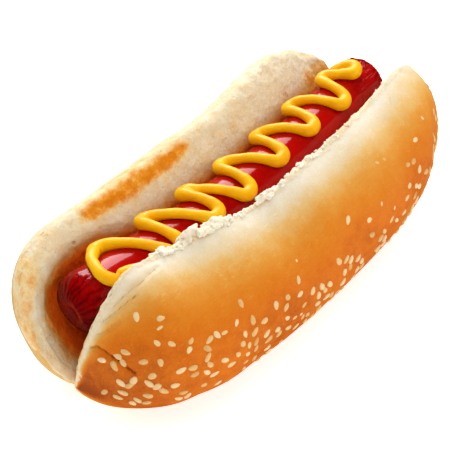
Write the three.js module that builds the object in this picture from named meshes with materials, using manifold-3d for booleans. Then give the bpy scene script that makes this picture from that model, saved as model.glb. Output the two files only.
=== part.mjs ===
// Hot dog: a soft split roll lying open on its hinge, and a sausage held in the groove with a line of
// mustard piped along it in zigzags.
//
// Millimetres. +X runs along the roll, +Y across it from the seeded half to the plain half, +Z up.
// The origin is on the surface that the roll rests on, under the middle of its bounding box.

import * as THREE from "three";
import { mergeVertices } from "three/addons/utils/BufferGeometryUtils.js";
import Module from "manifold-3d";

const wasm = await Module();
wasm.setup();

// ---------------------------------------------------------------- driving dimensions

// Both halves of the roll turn about one hinge line, the bottom of the groove.
const hinge = { y: 2.1, z: 5.7, web: 5.5 }; // web: how far each half reaches below the hinge line

// width: from the hinge line to the lip, along the cut face. rise: the cut face's angle above +Y.
// The pairs are for the two ends, -X first. close: how many degrees a half leans in over the groove
// there. endReach: the length of its rounded end. widen: how much wider it is at +X than halfway.
// tip: how far up the cut face each end comes to its point. lipRound: how far the lip's rounded edge
// stands out from the cut face into the half. round: the exponent of the crust's section, where 2 is
// an ellipse and more is squarer. plump: how soon each end grows thin, where less is plumper.
// lipWaves: how much further up the lip stands than the plain curve, as [x, mm]; they fade out
// over waveDepth down the half.
const seededHalf = {
  side: -1, width: 46.7, widen: 0.14, depth: 32.5, round: 2.05, tipX: [-82.5, 84.5],
  rise: 109, close: [14, 6.5], endReach: [36, 64], tip: [0.3, 0.33], lipRound: 1.5, plump: [1.1, 1.28],
  lipWaves: [
    [-82, 0], [-76, 2], [-70, 5], [-62, 4.6], [-54, 0.2], [-47, 0.4], [-41, 0.8], [-30, 1.3],
    [-22, -1.2], [-14, -1.4], [-8, 1.6], [-1, 2.8], [6, 1], [16, 1.6], [24, 1.2], [33, -1],
    [39, -2.4], [46, -0.4], [60, 1.2], [69, 3], [80, 2.4],
  ],
  waveDepth: 20,
};
const plainHalf = {
  side: 1, width: 48.2, widen: 0.04, depth: 19, round: 2.75, tipX: [-84.5, 68],
  rise: 64, close: [-5.5, -9.5], endReach: [27, 31], tip: [0.54, 0.66], lipRound: 4, plump: [0.8, 0.8],
  lipWaves: [
    [-80, -1], [-60, 0], [-30, -0.3], [-12, -0.2], [4, -1.4], [14, -1.2], [26, 0.4], [36, 1],
    [50, 0.8], [66, 0.6],
  ],
  waveDepth: 16,
};

const endRoundness = 2.5; // the same kind of exponent, for the halves' ends seen from above

// The sausage bends a little: its ends lie back and up from its middle.
const sausage = {
  radius: 10.95, tipX: [-74, 75], capLength: 9, capRound: 2.2,
  endY: 8.6, endZ: 30.4, bowY: 4.5, bowZ: 1.2,
};
const groove = { spare: 0.6, past: 3 }; // room round the sausage, and past its ends
const crumbFill = { x: -6, y: 2.8, z: 5, lengths: [67, 6.5, 9] }; // uncut crumb along the groove's bottom
// The hollow in the plain half's crumb round the sausage's -X end: its middle and its half lengths
// along X, up the cut face and into the half.
const hollow = { x: -58, up: 20, lengths: [20, 18, 5.5] };

// The mustard's turns, as [along the sausage in mm, degrees round it from the top towards +Y, the
// turn's own radius in mm].
const mustard = { radius: 1.75, sink: 0.4 };
const mustardTurns = [
  [-55.6, 43, 3], [-41, -42, 2.6], [-37.5, 42, 2.6], [-23.6, -33, 2.9], [-21, 44, 1.9], [-9, -34, 2.9],
  [-2.6, 46, 2.8], [9.3, -26, 2.9], [16.5, 50, 2.8], [27.4, -23, 2.9], [35, 50, 2.8], [45.3, -29, 2.9],
  [52, 33, 2.2], [59.6, -9, 2.2],
];
const mustardStart = [[-61.5, -33], [-63.6, -25], [-64.3, -13], [-63.2, 3], [-61.3, 20]];
const mustardEnd = [[60.6, 14], [57, 33]];
const mustardTail = [[-53.5, -34], [-57.5, -28], [-61, -25]]; // a short stretch that joins the start

const seed = { length: 3.1, width: 2, height: 1.2, sink: 0.3, count: 190, spacing: 2.4, draw: 7 };
// Where the seeds lie: along X, and in degrees round the crust from the lip. Between the two angles
// of thick they lie thickest, and they thin out to the two of degrees. earlier: how many degrees
// nearer the lip they start towards both ends, between two distances from the middle. sparser: how
// thickly they lie, as a share, up to the first distance towards -X; it grows to 1 at the second.
const seedBand = {
  x: [-81, 82], degrees: [18, 108], thick: [74, 92],
  earlier: { degrees: 16, from: 45, to: 75 }, sparser: { share: 0.45, from: 62, to: 70 },
};

// How finely each skin is divided: stations along X, and steps round the section.
const fineness = {
  seededHalf: { stations: 30, crust: 14, face: 6 },
  plainHalf: { stations: 22, crust: 12, face: 6 },
  sausage: { stations: 24, around: 18 },
  groove: { stations: 22, around: 16 },
  mustard: { steps: 112, tailSteps: 4, around: 6 },
  seed: { around: 5 },
};

// ---------------------------------------------------------------- small helpers

const radians = THREE.MathUtils.degToRad;
const smoothstep = (value, from, to) => THREE.MathUtils.smoothstep(value, from, to);

// A repeatable draw of numbers from 0 to 1.
function seededRandom(start) {
  let state = start;
  return () => {
    state = (state * 1664525 + 1013904223) % 4294967296;
    return state / 4294967296;
  };
}

// A closed skin over rings of equally many points, with a point at each end.
function skin(startTip, rings, endTip) {
  const around = rings[0].length;
  const points = [startTip, ...rings.flat(), endTip];
  const last = points.length - 1;
  const index = [];
  for (let i = 0; i < around; i++) {
    const j = (i + 1) % around;
    index.push(0, 1 + j, 1 + i);
    for (let k = 0; k < rings.length - 1; k++) {
      const a = 1 + k * around;
      const b = a + around;
      index.push(a + i, a + j, b + i, a + j, b + j, b + i);
    }
    const end = 1 + (rings.length - 1) * around;
    index.push(end + i, end + j, last);
  }
  return new THREE.BufferGeometry().setFromPoints(points).setIndex(index);
}

// A closed geometry as a solid that can be joined and cut.
function solidFrom(geometry) {
  const bare = geometry.clone();
  bare.deleteAttribute("normal");
  bare.deleteAttribute("uv");
  const merged = mergeVertices(bare, 1e-4);
  const mesh = new wasm.Mesh({
    numProp: 3,
    vertProperties: new Float32Array(merged.attributes.position.array),
    triVerts: new Uint32Array(merged.index.array),
  });
  return new wasm.Manifold(mesh);
}

// A solid as a geometry that a mesh can show.
function geometryFrom(solid) {
  const { vertProperties, triVerts } = solid.getMesh();
  const geometry = new THREE.BufferGeometry();
  geometry.setAttribute("position", new THREE.BufferAttribute(vertProperties, 3));
  geometry.setIndex(new THREE.BufferAttribute(triVerts, 1));
  geometry.computeVertexNormals();
  return geometry;
}

// ---------------------------------------------------------------- the roll

// 1 along the middle of a half, falling to 0 in a rounded end at each tip.
function endShare(half, x) {
  const [left, right] = half.tipX;
  const end = x < (left + right) / 2 ? 0 : 1;
  const toTip = end === 0 ? x - left : right - x;
  const into = Math.max(0, 1 - toTip / half.endReach[end]);
  return Math.sqrt(Math.max(0, 1 - Math.pow(into, endRoundness)));
}

// The angle of a half's cut face at x, leaning in or out towards the ends.
function riseAt(half, x) {
  const lean = half.close[x < 0 ? 0 : 1] * Math.pow(Math.min(1, Math.abs(x) / 60), 2);
  return radians(half.rise + half.side * lean);
}

// How far up the cut face a half lies at x: the middle of it and half its height.
function faceSpan(half, x) {
  const share = endShare(half, x);
  const lip = half.width * (1 + (half.widen * x) / 85);
  const tip = -hinge.web + (lip + hinge.web) * half.tip[x < 0 ? 0 : 1];
  const top = tip + (lip - tip) * share;
  const bottom = tip - (hinge.web + tip) * share;
  return { share, middle: (top + bottom) / 2, reach: (top - bottom) / 2 };
}

// A list of [x, value] read at x, straight between its entries and level past its ends.
function valueAt(list, x) {
  const next = list.findIndex(([place]) => place > x);
  if (next === 0) return list[0][1];
  if (next < 0) return list[list.length - 1][1];
  const [[x0, value0], [x1, value1]] = [list[next - 1], list[next]];
  return value0 + ((value1 - value0) * (x - x0)) / (x1 - x0);
}

// The same height up the cut face, with the lip's waves added. Their corners are rounded by a mean.
function lifted(half, x, up) {
  const { share, middle, reach } = faceSpan(half, x);
  const shifts = [-6, -3, 0, 3, 6];
  const wave = shifts.reduce((sum, shift) => sum + valueAt(half.lipWaves, x + shift), 0) / shifts.length;
  return up + wave * share * smoothstep(up, middle + reach - half.waveDepth, middle + reach);
}

// A point of a half: up the cut face from the hinge line, and out from the cut face.
function halfPoint(half, x, up, out) {
  const rise = riseAt(half, x);
  const y = hinge.y + up * Math.cos(rise) + half.side * out * Math.sin(rise);
  const z = hinge.z + up * Math.sin(rise) - half.side * out * Math.cos(rise);
  return new THREE.Vector3(x, y, z);
}

// The crust of a half at x. turn runs from 0 at the lip over the crown to PI at the hinge side.
function crustPoint(half, x, turn) {
  const { share, middle, reach } = faceSpan(half, x);
  const power = 2 / half.round;
  const up = middle + reach * Math.sign(Math.cos(turn)) * Math.pow(Math.abs(Math.cos(turn)), power);
  const edge = half.lipRound * share;
  const depth = half.depth * Math.pow(share, half.plump[x < 0 ? 0 : 1]) - edge;
  const out = edge + depth * Math.pow(Math.abs(Math.sin(turn)), power);
  return halfPoint(half, x, lifted(half, x, up), out);
}

// The cut face of a half at x, rounding over to the crust. across runs from -1 at the hinge side
// to 1 at the lip.
function facePoint(half, x, across) {
  const { share, middle, reach } = faceSpan(half, x);
  const flat = Math.pow(1 - Math.pow(Math.abs(across), 3), 1 / 3);
  const up = lifted(half, x, middle + reach * across);
  return halfPoint(half, x, up, half.lipRound * share * (1 - flat));
}

// One half: the crust from the lip over the crown to the hinge side, then the cut face back.
function halfRoll(half, { stations, crust, face }) {
  const [left, right] = half.tipX;
  const rings = [];
  for (let k = 1; k < stations; k++) {
    const x = (left + right) / 2 - (Math.cos((Math.PI * k) / stations) * (right - left)) / 2;
    const ring = [];
    for (let i = 0; i <= crust; i++) ring.push(crustPoint(half, x, (Math.PI * i) / crust));
    for (let i = 1; i < face; i++) ring.push(facePoint(half, x, -Math.cos((Math.PI * i) / face)));
    rings.push(half.side > 0 ? ring.reverse() : ring);
  }
  const tips = [left, right].map((x) => halfPoint(half, x, faceSpan(half, x).middle, 0));
  return skin(tips[0], rings, tips[1]);
}

// ---------------------------------------------------------------- the sausage

// The middle of the sausage's section at x.
function sausageCentre(x) {
  const bend = 1 - Math.pow(x / 64, 2);
  return new THREE.Vector3(x, sausage.endY - sausage.bowY * bend, sausage.endZ - sausage.bowZ * bend);
}

// The sausage's radius at x, with spare added all round and past added to its ends.
function sausageRadius(x, spare = 0, past = 0) {
  const [left, right] = sausage.tipX;
  const toTip = Math.min(x - left, right - x) + past;
  const cap = sausage.capLength + spare;
  const into = Math.max(0, 1 - toTip / cap);
  const share = Math.pow(Math.max(0, 1 - Math.pow(into, sausage.capRound)), 1 / sausage.capRound);
  return (sausage.radius + spare) * share;
}

// A point on the sausage, degrees from the top towards +Y.
function sausagePoint(x, degrees, radius) {
  const centre = sausageCentre(x);
  centre.y += radius * Math.sin(radians(degrees));
  centre.z += radius * Math.cos(radians(degrees));
  return centre;
}

// The sausage's skin, grown by spare all round and longer by past at both ends.
function sausageSkin({ stations, around }, spare = 0, past = 0) {
  const [left, right] = [sausage.tipX[0] - past, sausage.tipX[1] + past];
  const rings = [];
  for (let k = 1; k < stations; k++) {
    const x = (left + right) / 2 - (Math.cos((Math.PI * k) / stations) * (right - left)) / 2;
    const radius = sausageRadius(x, spare, past);
    const ring = [];
    for (let i = 0; i < around; i++) ring.push(sausagePoint(x, (-360 * i) / around, radius));
    rings.push(ring);
  }
  return skin(sausageCentre(left), rings, sausageCentre(right));
}

// ---------------------------------------------------------------- the mustard

// A smooth path over the sausage. It is drawn on the sausage's unrolled skin and wrapped round.
function pathOver(turns, steps) {
  const around = radians(sausage.radius + mustard.radius); // millimetres round the sausage per degree
  const flat = turns.map(([x, degrees]) => new THREE.Vector3(x, degrees * around, 0));
  const unrolled = new THREE.CatmullRomCurve3(flat, false, "centripetal");
  const points = unrolled.getSpacedPoints(steps).map(({ x, y }) =>
    sausagePoint(x, y / around, sausageRadius(x) + mustard.radius - mustard.sink));
  return new THREE.CatmullRomCurve3(points, false, "centripetal");
}

// A round bead along a path, closed at each end by a rounded tip with one ring of its own.
function bead(path, steps) {
  const radius = mustard.radius;
  const sides = fineness.mustard.around;
  const narrow = 0.7;
  const ringAt = (at, along, wide) => {
    const out = at.clone().sub(sausageCentre(at.x)).setX(0).normalize();
    const across = new THREE.Vector3().crossVectors(out, along).normalize();
    const ring = [];
    for (let i = 0; i < sides; i++) {
      const turn = (2 * Math.PI * i) / sides;
      ring.push(at.clone()
        .addScaledVector(across, wide * Math.cos(turn))
        .addScaledVector(out, wide * Math.sin(turn)));
    }
    return ring;
  };
  const tip = (share, forward, wide) => path.getPointAt(share)
    .addScaledVector(path.getTangentAt(share), forward * radius * Math.sqrt(1 - wide * wide));
  const rings = [ringAt(tip(0, -1, narrow), path.getTangentAt(0), radius * narrow)];
  for (let k = 0; k <= steps; k++) {
    rings.push(ringAt(path.getPointAt(k / steps), path.getTangentAt(k / steps), radius));
  }
  rings.push(ringAt(tip(1, 1, narrow), path.getTangentAt(1), radius * narrow));
  return skin(tip(0, -1, 0), rings, tip(1, 1, 0));
}

// The zigzag, with each turn as an arc on the unrolled skin, and the short stretch at its start.
function mustardSolid() {
  const around = radians(sausage.radius + mustard.radius);
  const rounded = mustardTurns.flatMap(([x, degrees, radius]) => [-75, -40, 0, 40, 75].map((angle) => {
    const dip = (radius * (1 - Math.cos(radians(angle)))) / around;
    return [x + radius * Math.sin(radians(angle)), degrees - dip * Math.sign(degrees)];
  }));
  const { steps, tailSteps } = fineness.mustard;
  const zigzag = bead(pathOver([...mustardStart, ...rounded, ...mustardEnd], 2 * steps), steps);
  const tail = bead(pathOver(mustardTail, 2 * tailSteps), tailSteps);
  return solidFrom(zigzag).add(solidFrom(tail));
}

// ---------------------------------------------------------------- the seeds

// A sesame seed: a flat drop, blunter at one end, lying along X with its back up +Z.
function seedGeometry() {
  const girths = [{ x: -0.25 * seed.length, share: 0.95 }, { x: 0.2 * seed.length, share: 0.85 }];
  const around = fineness.seed.around;
  const rings = girths.map(({ x, share }) => {
    const ring = [];
    for (let i = 0; i < around; i++) {
      const turn = (2 * Math.PI * (i + 0.25)) / around;
      const y = (Math.cos(turn) * share * seed.width) / 2;
      const z = (Math.sin(turn) * share * seed.height) / 2;
      ring.push(new THREE.Vector3(x, y, z));
    }
    return ring;
  });
  return skin(new THREE.Vector3(-seed.length / 2, 0, 0), rings, new THREE.Vector3(seed.length / 2, 0, 0));
}

// The crust's outward direction at x.
function crustNormal(half, x, turn) {
  const along = crustPoint(half, x + 0.5, turn).sub(crustPoint(half, x - 0.5, turn));
  const around = crustPoint(half, x, turn + 0.02).sub(crustPoint(half, x, turn - 0.02));
  return new THREE.Vector3().crossVectors(along, around).normalize();
}

// A draw of places on the seeded half's crust, no two nearer than the spacing.
function seedPlaces() {
  const random = seededRandom(seed.draw);
  const between = ([low, high]) => low + (high - low) * random();
  const [first, last] = seedBand.degrees;
  const [thickFrom, thickTo] = seedBand.thick;
  const { earlier, sparser } = seedBand;
  const lowest = 4; // the crust below this height is left bare for the roll to rest on
  const places = [];
  for (let tries = 0; places.length < seed.count && tries < 20000; tries++) {
    const x = between(seedBand.x);
    const degrees = between(seedBand.degrees);
    const nearer = degrees + earlier.degrees * smoothstep(Math.abs(x), earlier.from, earlier.to);
    const across = smoothstep(nearer, first, thickFrom) ** 2 * (1 - smoothstep(degrees, thickTo, last));
    const along = sparser.share + (1 - sparser.share) * smoothstep(-x, sparser.from, sparser.to);
    if (random() > across * along) continue;
    const turn = radians(degrees);
    const at = crustPoint(seededHalf, x, turn);
    const crowded = places.some((place) => place.at.distanceTo(at) < seed.spacing);
    if (at.z < lowest || crowded) continue;
    places.push({ at, normal: crustNormal(seededHalf, x, turn), spin: between([0, 2 * Math.PI]) });
  }
  return places;
}

function seedSolids() {
  const shape = seedGeometry();
  const up = new THREE.Vector3(0, 0, 1);
  return seedPlaces().map(({ at, normal, spin }) => {
    const turn = new THREE.Quaternion().setFromUnitVectors(up, normal);
    turn.multiply(new THREE.Quaternion().setFromAxisAngle(up, spin));
    const lift = normal.clone().multiplyScalar(seed.height / 2 - seed.sink * seed.height);
    const place = new THREE.Matrix4().compose(at.clone().add(lift), turn, new THREE.Vector3(1, 1, 1));
    return solidFrom(shape.clone().applyMatrix4(place));
  });
}

// ---------------------------------------------------------------- the whole

function hollowSolid() {
  const scoop = new THREE.SphereGeometry(1, 18, 10).scale(...hollow.lengths);
  const middle = halfPoint(plainHalf, hollow.x, hollow.up, 0);
  scoop.rotateX(riseAt(plainHalf, hollow.x)).translate(middle.x, middle.y, middle.z);
  return solidFrom(scoop);
}

function crumbFillSolid() {
  const shape = new THREE.SphereGeometry(1, 12, 16).rotateZ(Math.PI / 2).scale(...crumbFill.lengths);
  return solidFrom(shape.translate(crumbFill.x, crumbFill.y, crumbFill.z));
}

function rollSolid() {
  const halves = [
    solidFrom(halfRoll(seededHalf, fineness.seededHalf)),
    solidFrom(halfRoll(plainHalf, fineness.plainHalf)),
  ];
  const pressed = solidFrom(sausageSkin(fineness.groove, groove.spare, groove.past));
  const floor = new THREE.BoxGeometry(300, 200, 40).translate(0, 0, -20);
  const cuts = wasm.Manifold.union([pressed, hollowSolid(), solidFrom(floor)]);
  const bread = wasm.Manifold.union([...halves, crumbFillSolid()]).subtract(cuts);
  return wasm.Manifold.union([bread, ...seedSolids()]);
}

function sausageSolid() {
  return solidFrom(sausageSkin(fineness.sausage)).add(mustardSolid());
}

const materials = {
  roll: new THREE.MeshStandardMaterial({ color: 0xd9924a, roughness: 0.7, metalness: 0 }),
  sausage: new THREE.MeshStandardMaterial({ color: 0x9c1412, roughness: 0.3, metalness: 0 }),
};

function part(name, geometry, material) {
  const mesh = new THREE.Mesh(geometry, material);
  mesh.name = name;
  return mesh;
}

const hotDog = new THREE.Group();
hotDog.add(part("roll", geometryFrom(rollSolid()), materials.roll));
hotDog.add(part("sausage", geometryFrom(sausageSolid()), materials.sausage));

export default hotDog;
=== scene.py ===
# Hot dog: the bread, seeds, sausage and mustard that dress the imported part.
# Lengths are in millimetres until a mesh is written, which is in metres.
# +X runs along the roll, +Y across it from the seeded half to the plain half, +Z up.
# Each piece's sizes and looks stand in one dictionary, above the functions that make it.

import bpy
import numpy as np
from math import cos, pi, radians, sin
from mathutils import Matrix, Vector, noise
from types import SimpleNamespace


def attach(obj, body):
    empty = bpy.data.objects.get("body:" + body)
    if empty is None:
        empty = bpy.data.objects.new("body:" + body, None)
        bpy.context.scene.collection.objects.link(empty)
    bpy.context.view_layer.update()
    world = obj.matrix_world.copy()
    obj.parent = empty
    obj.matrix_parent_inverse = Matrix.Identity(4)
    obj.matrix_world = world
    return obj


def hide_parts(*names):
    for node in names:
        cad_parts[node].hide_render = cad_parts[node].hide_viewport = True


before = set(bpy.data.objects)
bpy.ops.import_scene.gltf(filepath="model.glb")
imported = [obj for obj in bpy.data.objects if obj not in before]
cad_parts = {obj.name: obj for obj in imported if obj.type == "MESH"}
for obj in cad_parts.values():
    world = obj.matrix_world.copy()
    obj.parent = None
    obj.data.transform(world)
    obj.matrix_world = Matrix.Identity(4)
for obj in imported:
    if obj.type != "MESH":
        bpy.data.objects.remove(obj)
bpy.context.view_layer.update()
mm = 0.001

hinge = {"y": 2.1, "z": 5.7, "web": 5.5}   # both halves turn about this line, the bottom of the groove
# the power of a half's round ends, and the x where its lean and its width have changed in full
ends = {"roundness": 2.5, "closeReach": 60, "halfLength": 85}
groove = {"spare": 0.6, "past": 3, "blend": 0.8}   # room round the sausage, and past its ends
# the scoop round the sausage's -X end, in the plain half's cut face
hollow = {"x": -58, "up": 20, "lengths": (20, 18, 5.5), "corner": 2.4, "wall": 0.7, "outside": 9,
          "blend": 5}
untouched = -9   # so far below a cut face that nothing presses into it


def smooth(value, low, high):
    share = np.clip((value - low) / (high - low), 0, 1)
    return share * share * (3 - 2 * share)


def softMax(a, b, blend):   # the larger of two, rounded where they cross
    both = np.clip(0.5 + 0.5 * (a - b) / blend, 0, 1)
    return b + (a - b) * both + blend * both * (1 - both)


def readOff(value, pairs):   # a number between the listed (place, number) pairs
    return np.interp(value, *zip(*pairs))


def endShare(half, x):   # 1 along the middle of a half, falling to 0 at its tips
    left, right = half["tipX"]
    atLeft = x < (left + right) / 2
    toTip = np.where(atLeft, x - left, right - x)
    into = np.clip(1 - toTip / np.where(atLeft, *half["endReach"]), 0, 1)
    return np.sqrt(np.clip(1 - into ** ends["roundness"], 0, 1))


def riseAt(half, x):   # the angle of a half's cut face
    changed = np.minimum(1, np.abs(x) / ends["closeReach"]) ** 2
    return np.radians(half["rise"] + half["side"] * np.where(x < 0, *half["close"]) * changed)


def faceSpan(half, x):   # the end share, the middle of the cut face and how far it reaches from there
    share = endShare(half, x)
    lip = half["width"] * (1 + half["widen"] * x / ends["halfLength"])
    tip = -hinge["web"] + (lip + hinge["web"]) * np.where(x < 0, *half["tip"])
    top = tip + (lip - tip) * share
    bottom = tip - (hinge["web"] + tip) * share
    return share, (top + bottom) / 2, (top - bottom) / 2


def lipWave(half, x):
    shifts = (-6, -3, 0, 3, 6)   # a running mean rounds the corners between the listed heights
    return sum(readOff(x + shift, half["lipWaves"]) for shift in shifts) / len(shifts)


def lifted(half, x, up):   # the same height up the face, with the lip's waves
    share, middle, reach = faceSpan(half, x)
    top = middle + reach
    return up + lipWave(half, x) * smooth(up, top - half["waveDepth"], top) * share


def halfPoint(half, x, up, out):   # from up the cut face and out of it to x, y and z
    rise = riseAt(half, x)
    y = hinge["y"] + up * np.cos(rise) + half["side"] * out * np.sin(rise)
    z = hinge["z"] + up * np.sin(rise) - half["side"] * out * np.cos(rise)
    return np.stack([x + 0 * up, y, z], axis=-1)


def crustUpOut(half, x, turn):   # turn runs from 0 at the lip over the crown to pi at the hinge side
    share, middle, reach = faceSpan(half, x)
    power = 2 / half["round"]
    up = middle + reach * np.sign(np.cos(turn)) * np.abs(np.cos(turn)) ** power
    edge = half["lipRound"] * share
    depth = half["depth"] * share ** np.where(x < 0, *half["plump"])
    out = edge + (depth - edge) * np.abs(np.sin(turn)) ** power
    return lifted(half, x, up), out


def faceUpOut(half, x, across):   # across runs from -1 at the hinge side to 1 at the lip
    share, middle, reach = faceSpan(half, x)
    flat = np.clip(1 - np.abs(across) ** 3, 0, 1) ** (1 / 3)
    return lifted(half, x, middle + reach * across), half["lipRound"] * share * (1 - flat)


def sausageCentre(x):
    bend = 1 - (x / sausage["bowReach"]) ** 2
    return sausage["endY"] - sausage["bowY"] * bend, sausage["endZ"] - sausage["bowZ"] * bend


def sausageRadius(x, spare=0, past=0):
    left, right = sausage["tipX"]
    toTip = np.minimum(x - left, right - x) + past
    into = np.clip(1 - toTip / (sausage["capLength"] + spare), 0, 1)
    share = np.clip(1 - into ** sausage["capRound"], 0, 1) ** (1 / sausage["capRound"])
    return (sausage["radius"] + spare) * np.where(toTip < 0, 0, share)


def sausagePoint(x, turn, radius):   # turn runs from 0 on top towards +Y
    y, z = sausageCentre(x)
    return np.stack([x + 0 * turn, y + radius * np.sin(turn), z + radius * np.cos(turn)], axis=-1)


def sausageInHalf(half, x):   # how far up a half's face the sausage's middle lies, and how far out of it
    y, z = sausageCentre(x)
    rise = riseAt(half, x)
    up = (y - hinge["y"]) * np.cos(rise) + (z - hinge["z"]) * np.sin(rise)
    return up, half["side"] * ((y - hinge["y"]) * np.sin(rise) - (z - hinge["z"]) * np.cos(rise))


def deselectAll():
    if bpy.context.object and bpy.context.object.mode != "OBJECT":
        bpy.ops.object.mode_set(mode="OBJECT")
    bpy.ops.object.select_all(action="DESELECT")


def pickOnly(piece):
    deselectAll()
    piece.select_set(True)
    bpy.context.view_layer.objects.active = piece


def addBall(name, around, along):   # a UV sphere, and for each of its points the place along Z and the turn
    deselectAll()
    bpy.ops.mesh.primitive_uv_sphere_add(segments=around, ring_count=along, radius=1)
    piece = bpy.context.object
    piece.name = piece.data.name = name
    spots = pointsOf(piece) * mm
    return piece, np.clip(spots[:, 2], -1, 1), np.arctan2(spots[:, 1], spots[:, 0]) % (2 * pi)


def copyOf(piece):
    copy = piece.copy()
    copy.data = piece.data.copy()
    bpy.context.collection.objects.link(copy)
    return copy


def joinAll(pieces, name):
    pickOnly(pieces[0])
    for piece in pieces:
        piece.select_set(True)
    bpy.ops.object.join()
    whole = bpy.context.object
    whole.name = whole.data.name = name
    return whole


def layPoints(piece, points):   # points in mm
    piece.data.vertices.foreach_set("co", (points * mm).astype(np.float32).ravel())
    piece.data.update()


def pointsOf(piece):   # points in mm
    spots = np.empty(len(piece.data.vertices) * 3)
    piece.data.vertices.foreach_get("co", spots)
    return spots.reshape(-1, 3) / mm


def normalsOf(piece):
    ways = np.empty(len(piece.data.vertices) * 3)
    piece.data.vertex_normals.foreach_get("vector", ways)
    return ways.reshape(-1, 3)


def paintPoints(piece, **layers):   # each layer is a number for every point, or one for all
    for name, values in layers.items():
        layer = piece.data.attributes.new(name, "FLOAT", "POINT")
        layer.data.foreach_set("value", np.full(len(piece.data.vertices), values, np.float32))


def closeUp(piece):   # turns all faces outwards and shades them smooth
    pickOnly(piece)
    bpy.ops.object.mode_set(mode="EDIT")
    bpy.ops.mesh.select_all(action="SELECT")
    bpy.ops.mesh.normals_make_consistent(inside=False)
    bpy.ops.object.mode_set(mode="OBJECT")
    bpy.ops.object.shade_smooth()


def roughen(piece, name, weights, lump, height, detail):   # cloudy lumps, as strong as the weights
    group = piece.vertex_groups.new(name=name)
    levels = 20
    steps = np.clip(np.round(weights * levels), 0, levels).astype(int)
    for step in range(1, levels + 1):
        group.add(np.flatnonzero(steps == step).tolist(), step / levels, "REPLACE")
    texture = bpy.data.textures.new(name, "CLOUDS")
    texture.noise_scale = lump * mm
    texture.noise_depth = detail
    texture.noise_basis = "BLENDER_ORIGINAL"
    pickOnly(piece)
    modifier = piece.modifiers.new(name, "DISPLACE")
    modifier.texture = texture
    modifier.texture_coords = "LOCAL"
    modifier.strength = height * mm
    modifier.mid_level = 0.5
    modifier.vertex_group = name
    bpy.ops.object.modifier_apply(modifier=name)


def meltTogether(piece, voxel, rounds):   # what overlaps becomes one closed skin, smoothed in some rounds
    pickOnly(piece)
    remesh = piece.modifiers.new("oneSkin", "REMESH")
    remesh.mode = "VOXEL"
    remesh.voxel_size = voxel * mm
    bpy.ops.object.modifier_apply(modifier="oneSkin")
    soften = piece.modifiers.new("soften", "SMOOTH")
    soften.iterations = rounds
    bpy.ops.object.modifier_apply(modifier="soften")
    closeUp(piece)


def dress(piece, material, node):
    piece.data.materials.clear()
    piece.data.materials.append(material)
    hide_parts(node)
    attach(piece, "root")


def paint(red, green, blue):   # a screen colour, 0 to 255, as the shader's own numbers
    share = np.array([red, green, blue]) / 255
    linear = np.where(share <= 0.04045, share / 12.92, ((share + 0.055) / 1.055) ** 2.4)
    return (*linear.tolist(), 1.0)


def newMaterial(name, sockets):   # sockets: the shader's numbers that are the same all over
    material = bpy.data.materials.new(name)
    material.use_nodes = True
    tree = material.node_tree
    shader = tree.nodes["Principled BSDF"]
    for socket, value in sockets.items():
        shader.inputs[socket].default_value = value
    return material, tree, shader, tree.nodes.new("ShaderNodeTexCoord").outputs["Object"]


def join(tree, source, target):
    if isinstance(source, (int, float, tuple)):
        target.default_value = source
    else:
        tree.links.new(source, target)


def attribute(tree, name):
    node = tree.nodes.new("ShaderNodeAttribute")
    node.attribute_name = name
    return node.outputs["Fac"]


def cloud(tree, coords, scale, detail=2, roughness=0.5, distortion=0, output="Fac"):
    node = tree.nodes.new("ShaderNodeTexNoise")
    tree.links.new(coords, node.inputs["Vector"])
    node.inputs["Scale"].default_value = scale   # lumps to a metre
    node.inputs["Detail"].default_value = detail
    node.inputs["Roughness"].default_value = roughness
    node.inputs["Distortion"].default_value = distortion
    return node.outputs[output]


def cells(tree, coords, scale):
    node = tree.nodes.new("ShaderNodeTexVoronoi")
    tree.links.new(coords, node.inputs["Vector"])
    node.inputs["Scale"].default_value = scale
    return node.outputs["Distance"]


def stretched(tree, coords, scale):   # the same coordinates, squeezed or drawn out along the axes
    node = tree.nodes.new("ShaderNodeMapping")
    tree.links.new(coords, node.inputs["Vector"])
    node.inputs["Scale"].default_value = scale
    return node.outputs["Vector"]


def sums(tree, operation, *values):
    node = tree.nodes.new("ShaderNodeMath")
    node.operation = operation
    for value, socket in zip(values, node.inputs):
        join(tree, value, socket)
    return node.outputs["Value"]


def times(tree, a, b):
    return sums(tree, "MULTIPLY", a, b)


def addOn(tree, base, pattern, share):   # base and a share of a pattern
    return sums(tree, "MULTIPLY_ADD", pattern, share, base)


def varied(tree, base, pattern, share):   # moved up and down by a pattern whose middle is a half
    return addOn(tree, base, sums(tree, "SUBTRACT", pattern, 0.5), share)


def spread(tree, value, low, high, first=0, last=1, kind="SMOOTHSTEP"):   # low..high becomes first..last
    node = tree.nodes.new("ShaderNodeMapRange")
    node.interpolation_type = kind
    names = ("Value", "From Min", "From Max", "To Min", "To Max")
    for name, number in zip(names, (value, low, high, first, last)):
        join(tree, number, node.inputs[name])
    return node.outputs["Result"]


def ramp(tree, value, stops):   # stops: (place, (red, green, blue))
    node = tree.nodes.new("ShaderNodeValToRGB")
    tree.links.new(value, node.inputs["Fac"])
    elements = node.color_ramp.elements
    while len(elements) < len(stops):
        elements.new(0.5)
    for element, (place, colour) in zip(elements, stops):
        element.position = place
        element.color = paint(*colour)
    return node.outputs["Color"]


def blend(tree, share, a, b):
    node = tree.nodes.new("ShaderNodeMix")
    node.data_type = "RGBA"
    join(tree, share, node.inputs["Factor"])
    join(tree, a, node.inputs[6])
    join(tree, b, node.inputs[7])
    return node.outputs[2]


def bumps(tree, shader, height, strength, distance):
    node = tree.nodes.new("ShaderNodeBump")
    node.inputs["Strength"].default_value = strength
    node.inputs["Distance"].default_value = distance * mm
    tree.links.new(height, node.inputs["Height"])
    tree.links.new(node.outputs["Normal"], shader.inputs["Normal"])


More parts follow.
